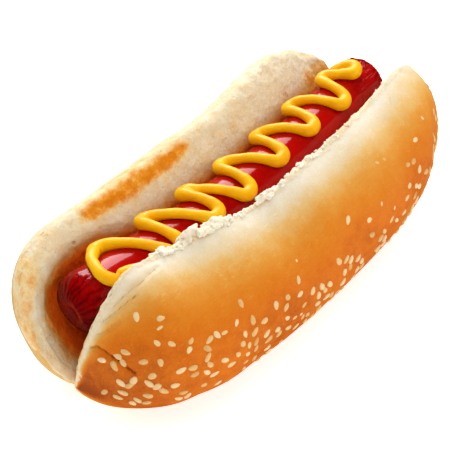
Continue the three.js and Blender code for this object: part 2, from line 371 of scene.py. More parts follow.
bread = {
    # colours of crust, from pale to brown, of crumb, from white to stained and painted with shade, and of
    # grilled crumb
    "crust": [(0, (238, 228, 210)), (0.15, (230, 212, 176)), (0.38, (226, 184, 112)),
              (0.55, (224, 154, 62)), (0.7, (220, 131, 33)), (0.84, (214, 112, 19)),
              (0.93, (190, 92, 14)), (1, (158, 68, 10))],
    "crumb": [(0.2, (248, 240, 222)), (0.32, (239, 229, 207)), (0.44, (233, 216, 180)),
              (0.56, (231, 200, 150)), (0.7, (232, 168, 90)), (0.84, (242, 128, 36)), (1, (248, 98, 12))],
    "grilled": [(0.12, (248, 216, 132)), (0.32, (246, 192, 88)), (0.47, (236, 152, 36)),
                (0.62, (220, 124, 16))],
    "pit": (186, 122, 54), "finePit": (176, 108, 56),
    # patterns, in lumps to a metre
    "blotches": 45, "mottle": 260, "specks": 1500, "scratches": 620, "foldEdge": 700,
    "pits": 120, "finePits": 430, "pores": 620, "wobble": 300,
    "roughness": (0.85, 0.48),   # of crumb and of crust
    "bump": (0.6, 0.55),         # strength, and height in mm
    "sockets": {"Specular IOR Level": 0.08, "Subsurface Weight": 0.25, "Subsurface Radius": (1, 0.55, 0.3),
                "Subsurface Scale": 1.6 * mm},
}


def breadMaterial():   # its attributes are painted on each piece of bread
    material, tree, shader, coords = newMaterial("bread", bread["sockets"])
    stain = attribute(tree, "stain")
    openness = sums(tree, "SUBTRACT", 1, attribute(tree, "soft"))
    blotch = cloud(tree, coords, bread["blotches"], 3)
    mottle = cloud(tree, coords, bread["mottle"], 5, 0.6)
    speck = cloud(tree, coords, bread["specks"], 3, 0.6)

    # crust: browned unevenly, lightly scratched, and darker in its creases with painted shade
    creaseShadeAndDip = addOn(tree, attribute(tree, "creaseAway"), cloud(tree, coords, bread["foldEdge"], 3), 0.6)
    creaseShadeAndDip = spread(tree, creaseShadeAndDip, 0.35, 0.85, 1, 0)
    baked = varied(tree, attribute(tree, "bake"), blotch, 0.22)
    baked = varied(tree, baked, mottle, 0.2)
    baked = varied(tree, baked, speck, 0.14)
    drawnOut = stretched(tree, coords, (0.35, 1, 1))
    scratches = spread(tree, cloud(tree, drawnOut, bread["scratches"], 4, 0.6, 2.5), 0.56, 0.7)
    baked = addOn(tree, baked, scratches, -0.08)
    # painted shade: the crust colour is drawn darker along its creases
    crust = ramp(tree, addOn(tree, baked, creaseShadeAndDip, 0.24), bread["crust"])

    # crumb: stained by the sausage and painted with shade and the sausage's reflection near it, with pits
    # of two sizes
    grain = addOn(tree, times(tree, mottle, 0.35), speck, 0.25)
    grain = addOn(tree, grain, blotch, 0.3)
    crumb = ramp(tree, addOn(tree, grain, stain, 0.6), bread["crumb"])
    wobbled = blend(tree, 0.012, coords, cloud(tree, coords, bread["wobble"], output="Color"))
    pits = spread(tree, cells(tree, wobbled, bread["pits"]), 0.08, 0.17, 1, 0)
    pits = times(tree, times(tree, pits, spread(tree, blotch, 0.47, 0.55)), openness)
    crumb = blend(tree, times(tree, pits, 0.75), crumb, paint(*bread["pit"]))
    finePits = spread(tree, cells(tree, wobbled, bread["finePits"]), 0.1, 0.22, 1, 0)
    finePits = times(tree, finePits, openness)
    finePits = times(tree, finePits, spread(tree, stain, -0.4, 0.5, 0.2, 0.6))
    crumb = blend(tree, finePits, crumb, paint(*bread["finePit"]))

    # grilled crumb, browner where it is fully grilled
    grilled = spread(tree, varied(tree, attribute(tree, "toast"), mottle, 0.8), 0, 1)
    heat = addOn(tree, times(tree, mottle, 0.7), speck, 0.3)
    heat = addOn(tree, heat, sums(tree, "SUBTRACT", grilled, 1), 0.35)
    crumb = blend(tree, grilled, crumb, ramp(tree, heat, bread["grilled"]))

    # the crust begins along a ragged line by the lip
    onCrust = spread(tree, varied(tree, attribute(tree, "fromLip"), mottle, 5), 0.8, 2)
    join(tree, blend(tree, onCrust, crumb, crust), shader.inputs["Base Color"])
    join(tree, spread(tree, onCrust, 0, 1, *bread["roughness"], "LINEAR"), shader.inputs["Roughness"])
    crumbHeight = addOn(tree, sums(tree, "ADD", speck, mottle), cells(tree, coords, bread["pores"]), 0.8)
    crumbHeight = addOn(tree, times(tree, crumbHeight, openness), pits, -1.5)
    crustHeight = addOn(tree, times(tree, mottle, 0.5), speck, 0.25)
    crustHeight = addOn(tree, crustHeight, creaseShadeAndDip, -1.2)
    bumps(tree, shader, spread(tree, onCrust, 0, 1, crumbHeight, crustHeight, "LINEAR"), *bread["bump"])
    return material


def inHollow(x, up):   # 0 in the middle of the scoop, 1 on its rim
    length, height, _ = hollow["lengths"]
    corner = hollow["corner"]
    far = np.abs((x - hollow["x"]) / length) ** corner + np.abs((up - hollow["up"]) / height) ** corner
    return far ** (1 / corner)


def pressGroove(half, x, up, out):   # makes room in a cut face for the sausage and its hollow
    centreUp, centreOut = sausageInHalf(half, x)
    radius = sausageRadius(x, groove["spare"], groove["past"])
    wide = radius ** 2 - (up - centreUp) ** 2
    pressed = np.where(wide > 0, centreOut + np.sqrt(np.maximum(wide, 0)), untouched)
    out = softMax(pressed, out, groove["blend"])
    if half is plainHalf:
        left = 1 - inHollow(x, up) ** 2
        bowl = hollow["lengths"][2] * np.maximum(left, 0) ** hollow["wall"]
        bowl = bowl + hollow["outside"] * np.minimum(left, 0)
        out = softMax(np.where(left > -0.3, bowl, untouched), out, hollow["blend"])
    return out


def halfMesh(name, half):   # a bread half, and where each of its points lies on it
    piece, along, turn = addBall(name, half["around"], half["along"])
    left, right = half["tipX"]
    x = (left + right) / 2 + along * (right - left) / 2
    place = turn / (2 * pi)
    crustShare = half["crustShare"]
    onCrust = place <= crustShare
    over = np.where(onCrust, pi * place / crustShare, 0)
    across = -np.cos(pi * np.clip(place - crustShare, 0, 1) / (1 - crustShare))
    crustUp, crustOut = crustUpOut(half, x, over)
    faceUp, faceOut = faceUpOut(half, x, np.where(onCrust, 0, across))
    up = np.where(onCrust, crustUp, faceUp)
    out = np.where(onCrust, crustOut, pressGroove(half, x, up, faceOut))
    share, middle, reach = faceSpan(half, x)
    points = halfPoint(half, x, up, out)
    points[:, 2] = np.maximum(points[:, 2], half["restZ"])
    layPoints(piece, points)
    closeUp(piece)
    over = np.degrees(over)   # 0 at the lip, 180 at the hinge
    return piece, SimpleNamespace(
        x=x, up=up, z=points[:, 2], onCrust=onCrust, share=share, over=over, toLip=middle + reach - up,
        arc=np.radians(over) * half["mmPerRadian"] * share,   # mm over the crust from the lip
        clear=smooth(points[:, 2], 0.8, 4))                   # clear of what the roll rests on


seededHalf = {
    "side": -1, "rise": 109, "close": (14, 6.5),   # degrees up from flat, and how much less at both ends
    "tipX": (-82.5, 84.5), "endReach": (36, 64),   # both tips, and how far the rounding goes in from them
    "tip": (0.3, 0.33), "plump": (1.1, 1.28),      # how far up the face they lie, and how depth fades
    "width": 46.7, "widen": 0.14, "depth": 32.5, "round": 2.05, "lipRound": 1.5, "mmPerRadian": 33,
    "around": 216, "along": 330, "crustShare": 0.62, "restZ": 0,
    # how much further up the torn lip stands than the plain curve, as (x, mm)
    "lipWaves": [(-82, 0), (-76, 2), (-70, 5), (-62, 4.6), (-54, 0.2), (-47, 0.4), (-41, 0.8), (-30, 1.3),
                 (-22, -1.2), (-14, -1.4), (-8, 1.6), (-1, 2.8), (6, 1), (16, 1.6), (24, 1.2), (33, -1),
                 (39, -2.4), (46, -0.4), (60, 1.2), (69, 3), (80, 2.4)],
    "waveDepth": 20,
    # creases in the crust: (line, depth, width), lines as (x, degrees over the crust)
    "creases": [
        ([(-79, 6), (-78, 12), (-77.4, 32), (-76.6, 50), (-76, 58)], 0.7, 0.75),
        ([(-56, 7), (-60, 10), (-63.3, 10.7), (-68.5, 8), (-71, 6.5)], 0.5, 0.6),
        ([(-66, 14), (-70.2, 11.1), (-73.2, 7.8), (-74.3, 5)], 0.5, 0.6),
        ([(-72, 16), (-75, 12), (-76.5, 7)], 0.4, 0.6),
        ([(26, 10), (31, 12), (37, 15), (41, 19)], 0.12, 0.8),
        ([(50, 1), (49, 5), (45, 13)], 0.3, 1.6),
        ([(55, 1), (53, 8), (48, 16)], 0.25, 1.5),
        ([(60, 1), (62, 6), (66, 11)], 0.3, 1.6),
    ],
    # roughness of its surfaces, as (lump, height, detail)
    "tornLip": (3.2, 2.6, 3), "openCrumb": (2.6, 0.9, 3), "unevenCrust": (22, 1.1, 1),
    # how brown the crust is by degrees over it, and by how many degrees that moves towards the lip along X
    "bake": [(-60, 0.3), (0, 0), (6, 0.06), (12, 0.2), (20, 0.42), (30, 0.6), (40, 0.73), (50, 0.81),
             (60, 0.85), (75, 0.87), (100, 0.88)],
    "shift": [(-82, 40), (-77, 28), (-72, 12), (-62, 2), (-50, 2), (-40, 0), (70, 0), (76, 1), (84, 2)],
}


def awayFrom(line, points):   # mm from a line over the seeded crust
    run = np.linspace(0, len(line) - 1, 12 * len(line))
    x, over = [np.interp(run, range(len(line)), numbers) for numbers in zip(*line)]
    nearest = np.full(len(points), 1e9)
    for spot in halfPoint(seededHalf, x, *crustUpOut(seededHalf, x, np.radians(over))):
        nearest = np.minimum(nearest, np.linalg.norm(points - spot, axis=1))
    return nearest


def sinkCreases(piece, at):   # returns how far each point is from a crease
    away = np.full(len(at.x), 5.0)
    sink = np.zeros(len(at.x))
    points = pointsOf(piece)
    for line, depth, width in seededHalf["creases"]:
        distance = awayFrom(line, points)
        away = np.minimum(away, distance + max(0, 0.9 * (0.7 - depth)))   # shallow ones get hardly any painted shade
        sink += depth * np.exp(-(distance / width) ** 2)
        sink -= 0.15 * depth * np.exp(-((distance - 2 * width) / width) ** 2)   # a low ridge beside it
    layPoints(piece, points - normalsOf(piece) * np.where(at.onCrust, sink, 0)[:, None])
    return np.where(at.onCrust, away, 5)


def seededBake(at):
    even = 0.25 * smooth(at.x, 40, 66)   # the +X end is browned more evenly
    over = at.over * (1 - even) + 16 * even + readOff(at.x, seededHalf["shift"]) * smooth(at.over, 0, 26)
    over = np.where(over > 100, 200 - over, over)   # the underside pales again towards the hinge
    bake = readOff(over, seededHalf["bake"])
    # painted shade: the -X tip is drawn darker the lower it lies
    low = 1 - smooth(at.z, 3, 24)
    bake = bake + 0.3 * (1 - at.share) * smooth(-at.x, 56, 78) * (0.35 + 0.65 * low)   # a darker -X tip: browner crust, and painted shade that grows low down
    rim = smooth(at.arc, 0, 5 - smooth(-at.x, 68, 76))   # with a pale rim
    bake = np.where(at.x < -60, bake * (0.5 + 0.5 * rim), bake)
    return bake + 0.08 * smooth(np.abs(at.x + 9), 49, 62) * (1 - smooth(at.over, 8, 20))


def makeSeededHalf(material):   # returns the points of its lip and their normals
    piece, at = halfMesh("seededHalf", seededHalf)
    creaseAway = sinkCreases(piece, at)
    nearLip = np.where(at.onCrust, 1 - smooth(at.arc, 1, 3.4), 1 - smooth(at.toLip, 1, 5))
    nearLip = nearLip * (0.3 + 0.7 * readOff(at.x, crumbs["thick"]))
    roughen(piece, "tornLip", nearLip * at.clear, *seededHalf["tornLip"])
    roughen(piece, "openCrumb", np.where(at.onCrust, 0, at.clear), *seededHalf["openCrumb"])
    roughen(piece, "unevenCrust", np.where(at.onCrust, at.clear, 0), *seededHalf["unevenCrust"])

    # its face is stained and painted with shade low down and at the -X tip, and the crust comes over the
    # lip at the +X end
    stain = 0.5 * np.minimum(1 - smooth(at.up, 26, 40), smooth(at.toLip, 3, 10))
    stain = np.maximum(stain, 0.35 * smooth(-at.x, 70, 80)) - 0.08
    fromLip = np.where(at.onCrust, at.arc, -3) + 5 * smooth(at.x, 62, 70)
    paintPoints(piece, bake=seededBake(at), fromLip=fromLip, stain=np.where(at.onCrust, 0, stain),
                toast=0, creaseAway=creaseAway, soft=0.6 * nearLip)
    dress(piece, material, "roll")
    print("seeded half:", len(piece.data.polygons), "faces")
    onLip = np.where(at.onCrust, at.arc < 1.2, at.toLip < 1.5) & (np.abs(at.x) < 76)
    return pointsOf(piece)[onLip], normalsOf(piece)[onLip]


plainHalf = {
    "side": 1, "rise": 64, "close": (-5.5, -9.5),
    "tipX": (-84.5, 68), "endReach": (27, 31), "tip": (0.54, 0.66), "plump": (0.8, 0.8),
    "width": 48.2, "widen": 0.04, "depth": 19, "round": 2.75, "lipRound": 4, "mmPerRadian": 27,
    "around": 200, "along": 300, "crustShare": 0.56, "restZ": 0.15,
    "lipWaves": [(-80, -1), (-60, 0), (-30, -0.3), (-12, -0.2), (4, -1.4), (14, -1.2), (26, 0.4), (36, 1),
                 (50, 0.8), (66, 0.6)],
    "waveDepth": 16,
    "openCrumb": (3, 0.8, 3), "unevenCrust": (24, 0.9, 1), "lumpyEdge": (4.5, 1.6, 1),
    "bake": [(-60, 0.14), (0, 0.12), (10, 0.16), (25, 0.36), (40, 0.64), (60, 0.84), (90, 0.93)],
    "tipBake": 0.38,                                        # at its -X tip
    "stripe": {"x": (-57, -4), "up": 44.1, "width": 3.7},   # the grilled stripe near the lip
    # the crumb is stained and painted with shade and the sausage's reflection from this x on, and within so
    # many mm of the groove's and the scoop's edges
    "stainFrom": -62, "grooveEdge": 7.8, "pastGroove": (-3, 7.5), "pastHollow": (-5.5, 3),
}


def plainBake(at):
    over = np.where(at.over > 120, 240 - at.over, at.over)
    # its -X end is paler by the lip
    over = over - 45 * smooth(-at.x, 46, 78) * (1 - smooth(at.arc, 4, 26))
    atTip = smooth(-at.x, 58, 82)
    return readOff(over, plainHalf["bake"]) * (1 - atTip) + plainHalf["tipBake"] * atTip


def plainToast(at):
    stripe = plainHalf["stripe"]
    first, last = stripe["x"]
    run = np.clip((at.x - first) / (last - first), 0, 1)
    wide = stripe["width"] * (4 * run * (1 - run)) ** 0.5 + 0.3   # it tapers to both ends
    toast = 1 - smooth(np.abs(at.up - stripe["up"]) / wide, 0.1, 1.45)
    toast = toast * smooth(run, 0, 0.16) * (1 - smooth(run, 0.86, 1))
    toast = np.where(at.onCrust & (at.arc > 3), 0, toast)
    # browned patches on the rim at the -X end, and an orange-brown band low on the face at the other
    rim = smooth(-at.x, 67, 75) * (1 - smooth(at.toLip, 4, 9))
    farEdge = smooth(at.x, 46, 54) * (1 - smooth(at.up, 36, 41))
    onFace = 0.51 * rim + 0.6 * farEdge
    return np.maximum(toast, np.where(at.onCrust, 0.53 * rim * (1 - smooth(at.arc, 3, 9)), onFace))


def makePlainHalf(material):
    piece, at = halfMesh("plainHalf", plainHalf)
    crumbWeight = np.where(at.onCrust, 1 - smooth(at.arc, 2, 7), 1)
    lumpyWeight = (1 - smooth(at.toLip, 2, 6)) * smooth(at.x, 20, 34)
    roughen(piece, "openCrumb", crumbWeight * at.clear, *plainHalf["openCrumb"])
    roughen(piece, "unevenCrust", np.where(at.onCrust, at.clear, 0), *plainHalf["unevenCrust"])
    roughen(piece, "lumpyEdge", lumpyWeight * at.clear, *plainHalf["lumpyEdge"])

    # painted shade and painted reflection of the sausage, with its stain, in the groove and the scoop
    fromGroove = np.abs(at.up - sausageInHalf(plainHalf, at.x)[0]) - plainHalf["grooveEdge"]
    inGroove = np.where(at.x < plainHalf["stainFrom"], 0, 1 - smooth(fromGroove, *plainHalf["pastGroove"]))
    fromHollow = (inHollow(at.x, at.up) - 1) * hollow["lengths"][1]
    stain = np.maximum(inGroove, 1 - smooth(fromHollow, *plainHalf["pastHollow"]))
    paintPoints(piece, bake=plainBake(at), fromLip=np.where(at.onCrust, at.arc - 5, -3),
                stain=np.where(at.onCrust, 0, stain), toast=plainToast(at), creaseAway=5, soft=0.2)
    dress(piece, material, "roll")
    print("plain half:", len(piece.data.polygons), "faces")


crumbFill = {"x": -6, "y": 2.8, "z": 5, "lengths": (67, 6.5, 9), "around": 48, "along": 120, "restZ": 0.3,
             "openCrumb": (2.6, 0.6, 3)}


def makeHingeCrumb(material):   # uncut crumb that rounds the groove's bottom
    piece, along, turn = addBall("hingeCrumb", crumbFill["around"], crumbFill["along"])
    length, wide, high = crumbFill["lengths"]
    ring = np.sqrt(1 - along ** 2)
    x = crumbFill["x"] + along * length
    y = crumbFill["y"] + wide * ring * np.cos(turn)
    z = crumbFill["z"] + high * ring * np.sin(turn)
    centreY, centreZ = sausageCentre(x)
    room = sausageRadius(x, groove["spare"], groove["past"]) ** 2 - (y - centreY) ** 2
    z = np.where(room > 0, np.minimum(z, centreZ - np.sqrt(np.maximum(room, 0))), z)
    z = np.maximum(z, crumbFill["restZ"])
    layPoints(piece, np.stack([x, y, z], axis=-1))
    closeUp(piece)
    roughen(piece, "openCrumb", smooth(z, 3, 6), *crumbFill["openCrumb"])
    paintPoints(piece, bake=0.3, fromLip=-3, stain=0.4, toast=0, creaseAway=5, soft=0)
    dress(piece, material, "roll")
    print("hinge crumb:", len(piece.data.polygons), "faces")


seed = {
    "length": 3.1, "width": 2, "height": 1.2, "sink": 0.3, "count": 190, "spacing": 2.4,
    "draw": 7, "sizeDraw": 3,
    "x": (-81, 82), "degrees": (18, 108), "thick": (74, 92), "lowest": 4,
    "earlier": (16, 45, 75),      # degrees nearer the lip towards both ends, from one x to another
    "sparser": (0.45, 62, 70),    # how thickly they lie but for the -X end, and where that end begins
    "around": 9, "along": 7, "blunter": 0.22, "sizes": ((0.85, 0.85, 0.8), (1.12, 1.1, 1.05)),
    "colours": [(0.1, (242, 214, 164)), (0.45, (235, 198, 138)), (0.75, (224, 176, 104)),
                (1, (206, 144, 70))],
    "sockets": {"Roughness": 0.5, "Specular IOR Level": 0.3},
}


def seedDraws(state):   # the same repeatable draw that the part's source uses
    while True:
        state = (state * 1664525 + 1013904223) % 4294967296
        yield state / 4294967296


def crustSpot(x, degrees):
    up, out = crustUpOut(seededHalf, np.float64(x), np.radians(degrees))
    return Vector(halfPoint(seededHalf, np.float64(x), up, out).tolist())


def seedPlaces():
    draws = seedDraws(seed["draw"])
    (lowX, highX), (first, last), (thickFrom, thickTo) = seed["x"], seed["degrees"], seed["thick"]
    shift, fromX, toX = seed["earlier"]
    share, fromEnd, toEnd = seed["sparser"]
    places = []
    while len(places) < seed["count"]:
        x = lowX + (highX - lowX) * next(draws)
        degrees = first + (last - first) * next(draws)
        nearer = degrees + shift * smooth(abs(x), fromX, toX)
        across = smooth(nearer, first, thickFrom) ** 2 * (1 - smooth(degrees, thickTo, last))
        if next(draws) > across * (share + (1 - share) * smooth(-x, fromEnd, toEnd)):
            continue
        at = crustSpot(x, degrees)
        if at.z < seed["lowest"] or any((other[0] - at).length < seed["spacing"] for other in places):
            continue
        alongX = crustSpot(x + 0.5, degrees) - crustSpot(x - 0.5, degrees)
        around = crustSpot(x, degrees + 1.15) - crustSpot(x, degrees - 1.15)
        places.append((at, alongX.cross(around).normalized(), 2 * pi * next(draws)))
    return places


def seedMaterial():
    material, tree, shader, coords = newMaterial("seeds", seed["sockets"])
    tone = addOn(tree, times(tree, attribute(tree, "shade"), 0.6), cloud(tree, coords, 900), 0.45)
    join(tree, ramp(tree, tone, seed["colours"]), shader.inputs["Base Color"])
    bumps(tree, shader, cloud(tree, coords, 1800), 0.25, 0.2)
    return material


def makeSeeds(material):   # copies of a flat drop, blunter at one end
    piece, along, turn = addBall("oneSeed", seed["around"], seed["along"])
    ring = np.sqrt(1 - along ** 2) * (1 - seed["blunter"] * along)
    drop = np.stack([along * seed["length"] / 2, ring * np.cos(turn) * seed["width"] / 2,
                     ring * np.sin(turn) * seed["height"] / 2], axis=-1)
    layPoints(piece, drop)
    closeUp(piece)
    vary = np.random.default_rng(seed["sizeDraw"])
    copies = []
    for at, normal, spin in seedPlaces():
        copy = copyOf(piece)
        turnTo = Vector((0, 0, 1)).rotation_difference(normal).to_matrix() @ Matrix.Rotation(spin, 3, "Z")
        size = np.diag(vary.uniform(*seed["sizes"]))
        lift = np.array(normal) * seed["height"] * (0.5 - seed["sink"])
        layPoints(copy, drop @ size @ np.array(turnTo).T + np.array(at) + lift)
        paintPoints(copy, shade=vary.uniform())
        copies.append(copy)
    bpy.data.objects.remove(piece)
    seeds = joinAll(copies, "seeds")
    dress(seeds, material, "roll")
    print("seeds:", len(copies), "with", len(seeds.data.polygons), "faces")


crumbs = {
    "count": 300, "size": (0.3, 0.65), "shapes": ((0.8, 0.6, 0.6), (1.5, 1.1, 1)), "draw": 5,
    "voxel": 0.17, "rounds": 2,
    # how thickly they lie along the seeded half's lip, as (x, share), and how much bigger they grow
    "thick": [(-60, 0), (-55, 0.1), (-52, 0.7), (-49, 0.4), (-45, 1), (-30, 1), (-26, 0.4), (-19, 0.4),
              (-16, 0.8), (-12, 0.8), (-8, 0.2), (6, 0.2), (10, 0.08), (40, 0.04), (60, 0)],
    "bigger": [(-55, 0), (-52, 0.7), (-48, 0.2), (-42, 1.3), (-36, 0.9), (-30, 0.9), (-26, 0.2), (-18, 0.2),
               (-14, 0.9), (-9, 0.1), (5, 0.3), (8, 0)],
}


def makeLipCrumbs(material, lipPoints, lipNormals):
    random = np.random.default_rng(crumbs["draw"])
    deselectAll()
    bpy.ops.mesh.primitive_ico_sphere_add(subdivisions=3, radius=1)
    piece = bpy.context.object
    ball = pointsOf(piece) * mm
    copies = []
    while len(copies) < crumbs["count"]:
        pick = random.integers(len(lipPoints))
        x = lipPoints[pick][0]
        if random.uniform() > readOff(x, crumbs["thick"]):
            continue
        bigger = readOff(x, crumbs["bigger"])
        size = random.uniform(*crumbs["size"]) * (1 + bigger)
        centre = lipPoints[pick] + lipNormals[pick] * size * random.uniform(-0.3, 0.3 + bigger)
        knobbly = [1 + 0.6 * noise.noise(Vector(spot * 1.3) + Vector((x * 9, 3, 5))) for spot in ball]
        squeeze = random.uniform(*crumbs["shapes"])
        copy = copyOf(piece)
        layPoints(copy, ball * np.array(knobbly)[:, None] * squeeze * size + centre)
        copies.append(copy)
    bpy.data.objects.remove(piece)
    lipCrumbs = joinAll(copies, "lipCrumbs")
    meltTogether(lipCrumbs, crumbs["voxel"], crumbs["rounds"])
    paintPoints(lipCrumbs, bake=0.1, fromLip=-3, stain=-0.25, toast=0, creaseAway=5, soft=0.85)
    dress(lipCrumbs, material, "roll")
    print("lip crumbs:", len(copies), "with", len(lipCrumbs.data.polygons), "faces")


sausage = {
    "radius": 10.95, "tipX": (-74, 75), "capLength": 9, "capRound": 2.2, "around": 112, "along": 220,
    "endY": 8.6, "endZ": 30.4, "bowY": 4.5, "bowZ": 1.2, "bowReach": 64,
    "pleats": 25, "pleatReach": 13, "pleatDepth": (0.4, 0.25), "dimple": (1.5, 1.2),   # at -X and at +X
    "shrivel": (44, 62), "shrivelDepth": 0.9,   # its +X end shrivels from one x to the other
    "uneven": (14, 0.45, 1),
    "dark": (23, 43),   # painted shade: the skin is drawn dark below the first height and light above the other
    "colours": [(0.05, (30, 0, 1)), (0.35, (80, 0, 1)), (0.6, (136, 1, 2)), (0.8, (174, 8, 5))],
    "sockets": {"Roughness": 0.2, "Specular IOR Level": 0.03, "Specular Tint": (1, 0.5, 0.45, 1),
                "Coat Weight": 0.3, "Coat Roughness": 0.09},
}


def sausageMaterial():
    material, tree, shader, coords = newMaterial("sausage", sausage["sockets"])
    tone = times(tree, cloud(tree, coords, 70, 3), 0.45)
    tone = addOn(tree, tone, cloud(tree, coords, 700, 4, 0.6), 0.35)
    tone = addOn(tree, tone, attribute(tree, "shade"), 0.3)
    join(tree, ramp(tree, tone, sausage["colours"]), shader.inputs["Base Color"])
    wrinkles = cloud(tree, stretched(tree, coords, (0.3, 1, 1)), 520, 3, 0.6, 1)
    wrinkles = times(tree, times(tree, wrinkles, attribute(tree, "wrinkle")), 4.5)
    bumps(tree, shader, addOn(tree, wrinkles, cloud(tree, coords, 200), 0.2), 0.5, 0.8)
    return material


def noiseAt(*axes):
    return np.array([noise.noise(Vector(spot)) for spot in zip(*axes)])


def makeSausage(material):
    piece, along, turn = addBall("sausageSkin", sausage["around"], sausage["along"])
    left, right = sausage["tipX"]
    x = (left + right) / 2 + along * (right - left) / 2
    toEnd = np.minimum(x - left, right - x)
    away, across = np.cos(turn), np.sin(turn)
    # gathered skin runs to both tips in folds, with fine pleats between them
    folds = noiseAt(away * 4.5, across * 4.5, along * 2)
    waver = noiseAt(away * 2, across * 2, along * 25)
    pleats = np.abs(np.sin(turn * sausage["pleats"] / 2 + 2.2 * waver + 1.5 * folds)) ** 0.5
    close = (1 - smooth(toEnd, 3, sausage["pleatReach"])) * smooth(toEnd, 0.1, 1.2)
    radius = sausageRadius(x) * (1 - 0.04 * np.abs(folds) * (1 - smooth(toEnd, 2, 11)))
    radius = radius - np.where(x < 0, *sausage["pleatDepth"]) * (1 - pleats) * close
    shrunk = np.abs(noiseAt(away * 6, across * 6, 4 + x * 0.11))
    radius = radius - sausage["shrivelDepth"] * shrunk * smooth(x, *sausage["shrivel"])
    dimple = np.where(x < 0, *sausage["dimple"]) * np.exp(-(radius / 2.6) ** 2)
    x = x + np.where(x < 0, dimple, -dimple)
    points = sausagePoint(x, turn, radius)
    layPoints(piece, points)
    closeUp(piece)
    roughen(piece, "uneven", np.ones(len(x)), *sausage["uneven"])

    wrinkle = np.maximum(0.28 * (1 - smooth(toEnd, 4, 16)), smooth(x, *sausage["shrivel"]))
    # painted shade: darker towards the underside, in the pleats, at the -X end and at both tips; also
    # darker towards the +X end
    shade = 0.3 + 1.05 * smooth(points[:, 2], *sausage["dark"]) - 1.2 * (1 - pleats) * close
    shade = shade - 0.3 * smooth(-x, 55, 66) - 0.15 * (1 - smooth(toEnd, 1, 8)) - 0.2 * smooth(x, 40, 56)
    paintPoints(piece, wrinkle=np.clip(wrinkle + 0.01, 0, 1), shade=shade)
    dress(piece, material, "sausage")
    print("sausage:", len(piece.data.polygons), "faces")


mustard = {
    "radius": 1.75, "sink": 0.4, "steps": 900, "tailSteps": 60, "voxel": 0.33, "rounds": 14,
    "straight": 0.95, "swell": 0.4, "tightBend": 0.35, "ripple": 0.02,   # it is wider where it bends
    # the turns, as (along the sausage, degrees round it from the top towards +Y, radius of the turn)
    "turns": [(-55.6, 43, 3), (-41, -42, 2.6), (-37.5, 42, 2.6), (-23.6, -33, 2.9), (-21, 44, 1.2),
              (-9, -34, 2.9), (-2.6, 46, 2.8), (9.3, -26, 2.9), (16.5, 50, 2.8), (27.4, -23, 2.9),
              (35, 50, 2.8), (45.3, -29, 2.9), (52, 33, 2.2), (59.6, -9, 2.2)],
    "turnAngles": (-75, -40, 0, 40, 75),   # where a turn's arc has a spot, in degrees from its middle
    "start": [(-61.5, -33), (-63.6, -25), (-64.3, -13), (-63.2, 3), (-61.3, 20)],
    "end": [(60.6, 14), (57, 33)],
    "tail": [(-53.5, -34), (-57.5, -28), (-61, -25)],
    "colours": [(0.3, (244, 174, 2)), (0.5, (248, 184, 4)), (0.7, (251, 194, 10))],
    "sockets": {"Roughness": 0.38, "Specular IOR Level": 0.13, "Subsurface Weight": 0.15,
                "Subsurface Radius": (1, 0.5, 0.1), "Subsurface Scale": 1.2 * mm},
}
mustardDegree = radians(sausage["radius"] + mustard["radius"])   # mm that a degree round the sausage takes


def smoothLine(spots, steps):   # a centripetal Catmull-Rom curve through the spots
    spots = [np.array(spot, float) for spot in spots]
    spots = [2 * spots[0] - spots[1], *spots, 2 * spots[-1] - spots[-2]]
    shares = np.linspace(0, 1, 60, endpoint=False)
    line = []
    for a, b, c, d in zip(spots, spots[1:], spots[2:], spots[3:]):
        gaps = [max(np.linalg.norm(q - p) ** 0.5, 1e-6) for p, q in ((a, b), (b, c), (c, d))]
        startWay = ((b - a) / gaps[0] - (c - a) / (gaps[0] + gaps[1]) + (c - b) / gaps[1]) * gaps[1]
        endWay = ((c - b) / gaps[1] - (d - b) / (gaps[1] + gaps[2]) + (d - c) / gaps[2]) * gaps[1]
        for t in shares:
            line.append(b + startWay * t + (-3 * b + 3 * c - 2 * startWay - endWay) * t ** 2
                        + (2 * b - 2 * c + startWay + endWay) * t ** 3)
    line = np.array([*line, spots[-2]])
    run = np.concatenate([[0], np.cumsum(np.linalg.norm(np.diff(line, axis=0), axis=1))])
    even = np.linspace(0, run[-1], steps)
    return np.stack([np.interp(even, run, line[:, 0]), np.interp(even, run, line[:, 1])], axis=-1), even


def mustardBead(name, turns, steps):   # turns: (x, degrees round the sausage)
    flat, run = smoothLine([(x, degrees * mustardDegree) for x, degrees in turns], steps)
    ways = np.gradient(flat, axis=0)
    bend = np.abs(np.gradient(np.unwrap(np.arctan2(ways[:, 1], ways[:, 0])))) / np.gradient(run)
    window = 25   # steps over which the bend is evened out
    bend = np.convolve(np.pad(bend, window // 2, "edge"), np.ones(window) / window, "valid")
    tight = np.clip(bend / mustard["tightBend"], 0, 1)
    width = mustard["radius"] * (mustard["straight"] + mustard["swell"] * tight)
    width = width * (1 + mustard["ripple"] * np.sin(run * 0.5 + 1))
    toEnd = np.minimum(run, run[-1] - run)
    rounded = np.sqrt(np.clip(1 - (1 - np.clip(toEnd / mustard["radius"], 0, 1)) ** 2, 0.02, 1))
    radius = sausageRadius(flat[:, 0]) + width - mustard["sink"]
    points = sausagePoint(flat[:, 0], np.radians(flat[:, 1] / mustardDegree), radius)

    line = bpy.data.curves.new(name, "CURVE")
    line.dimensions = "3D"
    line.bevel_depth = mm
    line.bevel_resolution = 5
    line.use_fill_caps = True
    spline = line.splines.new("POLY")
    spline.points.add(len(points) - 1)
    for spot, point, size in zip(spline.points, points, width * rounded):
        spot.co = (*(point * mm), 1)
        spot.radius = size
    bead = bpy.data.objects.new(name, line)
    bpy.context.collection.objects.link(bead)
    pickOnly(bead)
    bpy.ops.object.convert(target="MESH")
    return bpy.context.object


def mustardMaterial():
    material, tree, shader, coords = newMaterial("mustard", mustard["sockets"])
    join(tree, ramp(tree, cloud(tree, coords, 180, 3), mustard["colours"]), shader.inputs["Base Color"])
    bumps(tree, shader, cloud(tree, coords, 420, 3), 0.12, 0.5)
    return material


